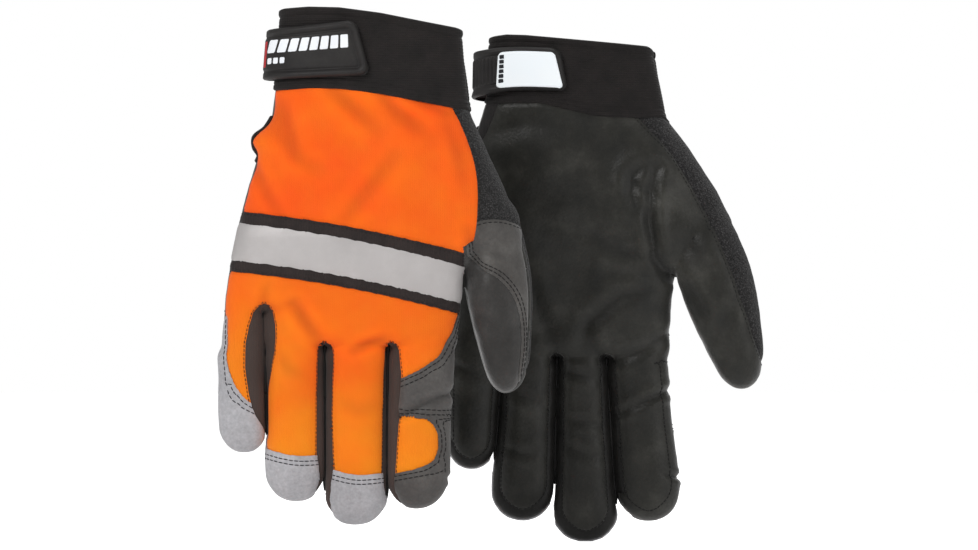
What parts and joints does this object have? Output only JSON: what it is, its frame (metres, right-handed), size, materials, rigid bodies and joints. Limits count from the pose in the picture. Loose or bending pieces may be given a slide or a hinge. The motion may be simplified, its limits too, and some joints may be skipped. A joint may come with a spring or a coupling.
{
  "type": "work gloves",
  "caption": "Pair of orange hi-vis work gloves: reflective tape band on the back, black leather palm, elastic cuff with a moulded wrist strap, hinged fingers and thumb.",
  "frame": {"origin": "centre of the pair across and in depth, on the level of the lowest fingertip", "axes": "+Z from fingertips to cuffs, +X from little finger to thumb on both gloves, +Y from the right glove (its back faces -Y) to the left glove (its palm faces -Y)"},
  "size_m": [0.2658, 0.1438, 0.2587],
  "materials": {
    "orange_knit": "fluorescent orange stretch knit",
    "black_band": "black woven edging",
    "silver_tape": "silver retroreflective tape, satin",
    "black_leather": "soft black grain leather with light sheen",
    "dark_grey_leather": "dark grey grain leather with light sheen",
    "light_grey_leather": "light grey synthetic leather, matte",
    "terry": "black looped terry",
    "elastic": "black ribbed elastic webbing",
    "rubber": "black moulded rubber, satin",
    "white_panel": "smooth white plastic",
    "hook_nylon": "black hook fastener"
  },
  "bodies": {
    "right_hand": {"right_back_panel": "orange_knit", "right_palm_panel": "black_leather", "right_terry_panel": "terry", "right_cuff_band": "elastic", "right_tape_backing": "black_band", "right_reflective_tape": "silver_tape", "right_vent_binding": "black_band", "right_strap_anchor": "rubber", "right_id_panel": "white_panel"},
    "right_strap": {"right_strap_tab": "rubber", "right_hook_pad": "hook_nylon"},
    "right_little_base": {"right_little_base_back": "orange_knit", "right_little_base_palm": "black_leather"},
    "right_little_tip": {"right_little_tip_back": "light_grey_leather", "right_little_tip_palm": "black_leather"},
    "right_ring_base": {"right_ring_base_back": "orange_knit", "right_ring_base_palm": "black_leather"},
    "right_ring_tip": {"right_ring_tip_back": "light_grey_leather", "right_ring_tip_palm": "black_leather"},
    "right_middle_base": {"right_middle_base_back": "orange_knit", "right_middle_base_palm": "black_leather"},
    "right_middle_tip": {"right_middle_tip_back": "light_grey_leather", "right_middle_tip_palm": "black_leather"},
    "right_index_base": {"right_index_base_back": "orange_knit", "right_index_base_palm": "black_leather"},
    "right_index_tip": {"right_index_tip_back": "dark_grey_leather", "right_index_tip_palm": "black_leather"},
    "right_thumb_base": {"right_thumb_base_back": "dark_grey_leather", "right_thumb_base_palm": "black_leather"},
    "right_thumb_tip": {"right_thumb_tip": "black_leather"},
    "left_hand": {"left_back_panel": "orange_knit", "left_palm_panel": "black_leather", "left_terry_panel": "terry", "left_cuff_band": "elastic", "left_tape_backing": "black_band", "left_reflective_tape": "silver_tape", "left_vent_binding": "black_band", "left_strap_anchor": "rubber", "left_id_panel": "white_panel"},
    "left_strap": {"left_strap_tab": "rubber", "left_hook_pad": "hook_nylon"},
    "left_little_base": {"left_little_base_back": "orange_knit", "left_little_base_palm": "black_leather"},
    "left_little_tip": {"left_little_tip_back": "light_grey_leather", "left_little_tip_palm": "black_leather"},
    "left_ring_base": {"left_ring_base_back": "orange_knit", "left_ring_base_palm": "black_leather"},
    "left_ring_tip": {"left_ring_tip_back": "light_grey_leather", "left_ring_tip_palm": "black_leather"},
    "left_middle_base": {"left_middle_base_back": "orange_knit", "left_middle_base_palm": "black_leather"},
    "left_middle_tip": {"left_middle_tip_back": "light_grey_leather", "left_middle_tip_palm": "black_leather"},
    "left_index_base": {"left_index_base_back": "orange_knit", "left_index_base_palm": "black_leather"},
    "left_index_tip": {"left_index_tip_back": "dark_grey_leather", "left_index_tip_palm": "black_leather"},
    "left_thumb_base": {"left_thumb_base_back": "dark_grey_leather", "left_thumb_base_palm": "black_leather"},
    "left_thumb_tip": {"left_thumb_tip": "black_leather"}
  },
  "joints": [
    {"name": "right_strap_open", "type": "hinge", "parent": "right_hand", "child": "right_strap", "pos_m": [-0.10871, -0.05207, 0.2416], "axis": [-0.1136, 0, -0.9935], "range_deg": [0, 150]},
    {"name": "right_little_knuckle", "type": "hinge", "parent": "right_hand", "child": "right_little_base", "pos_m": [-0.12195, -0.04426, 0.08829], "axis": [1, 0, 0], "range_deg": [-10, 80]},
    {"name": "right_little_middle_joint", "type": "hinge", "parent": "right_little_base", "child": "right_little_tip", "pos_m": [-0.12071, -0.04426, 0.06928], "axis": [1, 0, 0], "range_deg": [0, 95]},
    {"name": "right_ring_knuckle", "type": "hinge", "parent": "right_hand", "child": "right_ring_base", "pos_m": [-0.09655, -0.04426, 0.08829], "axis": [1, 0, 0], "range_deg": [-10, 80]},
    {"name": "right_ring_middle_joint", "type": "hinge", "parent": "right_ring_base", "child": "right_ring_tip", "pos_m": [-0.09584, -0.04426, 0.05908], "axis": [1, 0, 0], "range_deg": [0, 95]},
    {"name": "right_middle_knuckle", "type": "hinge", "parent": "right_hand", "child": "right_middle_base", "pos_m": [-0.06515, -0.04426, 0.08829], "axis": [1, 0, 0], "range_deg": [-10, 80]},
    {"name": "right_middle_middle_joint", "type": "hinge", "parent": "right_middle_base", "child": "right_middle_tip", "pos_m": [-0.06594, -0.04426, 0.05375], "axis": [1, 0, 0], "range_deg": [0, 95]},
    {"name": "right_index_knuckle", "type": "hinge", "parent": "right_hand", "child": "right_index_base", "pos_m": [-0.03395, -0.04426, 0.08829], "axis": [1, 0, 0], "range_deg": [-10, 80]},
    {"name": "right_index_middle_joint", "type": "hinge", "parent": "right_index_base", "child": "right_index_tip", "pos_m": [-0.03615, -0.04426, 0.0578], "axis": [1, 0, 0], "range_deg": [0, 95]},
    {"name": "right_thumb_knuckle", "type": "hinge", "parent": "right_hand", "child": "right_thumb_base", "pos_m": [0.00035, -0.04001, 0.14339], "axis": [0.907, 0, 0.421], "range_deg": [-15, 40]},
    {"name": "right_thumb_middle_joint", "type": "hinge", "parent": "right_thumb_base", "child": "right_thumb_tip", "pos_m": [0.00415, -0.04001, 0.11156], "axis": [0.907, 0, 0.421], "range_deg": [-3, 60]},
    {"name": "gloves_apart", "type": "slide", "parent": "right_hand", "child": "left_hand", "axis": [1, 0, 0], "range_m": [0, 0.095]},
    {"name": "left_strap_open", "type": "hinge", "parent": "left_hand", "child": "left_strap", "pos_m": [-0.00682, 0.05206, 0.2339], "axis": [0.1176, 0, 0.9931], "range_deg": [0, 150]},
    {"name": "left_little_knuckle", "type": "hinge", "parent": "left_hand", "child": "left_little_base", "pos_m": [-0.01185, 0.04424, 0.08179], "axis": [-1, 0, 0], "range_deg": [-10, 80]},
    {"name": "left_little_middle_joint", "type": "hinge", "parent": "left_little_base", "child": "left_little_tip", "pos_m": [-0.01141, 0.04424, 0.06138], "axis": [-1, 0, 0], "range_deg": [0, 95]},
    {"name": "left_ring_knuckle", "type": "hinge", "parent": "left_hand", "child": "left_ring_base", "pos_m": [0.01475, 0.04424, 0.08179], "axis": [-1, 0, 0], "range_deg": [-10, 80]},
    {"name": "left_ring_middle_joint", "type": "hinge", "parent": "left_ring_base", "child": "left_ring_tip", "pos_m": [0.01484, 0.04424, 0.05029], "axis": [-1, 0, 0], "range_deg": [0, 95]},
    {"name": "left_middle_knuckle", "type": "hinge", "parent": "left_hand", "child": "left_middle_base", "pos_m": [0.04355, 0.04424, 0.08179], "axis": [-1, 0, 0], "range_deg": [-10, 80]},
    {"name": "left_middle_middle_joint", "type": "hinge", "parent": "left_middle_base", "child": "left_middle_tip", "pos_m": [0.04435, 0.04424, 0.04549], "axis": [-1, 0, 0], "range_deg": [0, 95]},
    {"name": "left_index_knuckle", "type": "hinge", "parent": "left_hand", "child": "left_index_base", "pos_m": [0.07345, 0.04424, 0.08179], "axis": [-1, 0, 0], "range_deg": [-10, 80]},
    {"name": "left_index_middle_joint", "type": "hinge", "parent": "left_index_base", "child": "left_index_tip", "pos_m": [0.07526, 0.04424, 0.05029], "axis": [-1, 0, 0], "range_deg": [0, 95]},
    {"name": "left_thumb_knuckle", "type": "hinge", "parent": "left_hand", "child": "left_thumb_base", "pos_m": [0.10545, 0.03999, 0.14319], "axis": [-0.8686, 0, -0.4955], "range_deg": [-15, 40]},
    {"name": "left_thumb_middle_joint", "type": "hinge", "parent": "left_thumb_base", "child": "left_thumb_tip", "pos_m": [0.11498, 0.03999, 0.11205], "axis": [-0.8686, 0, -0.4955], "range_deg": [-3, 60]}
  ]
}
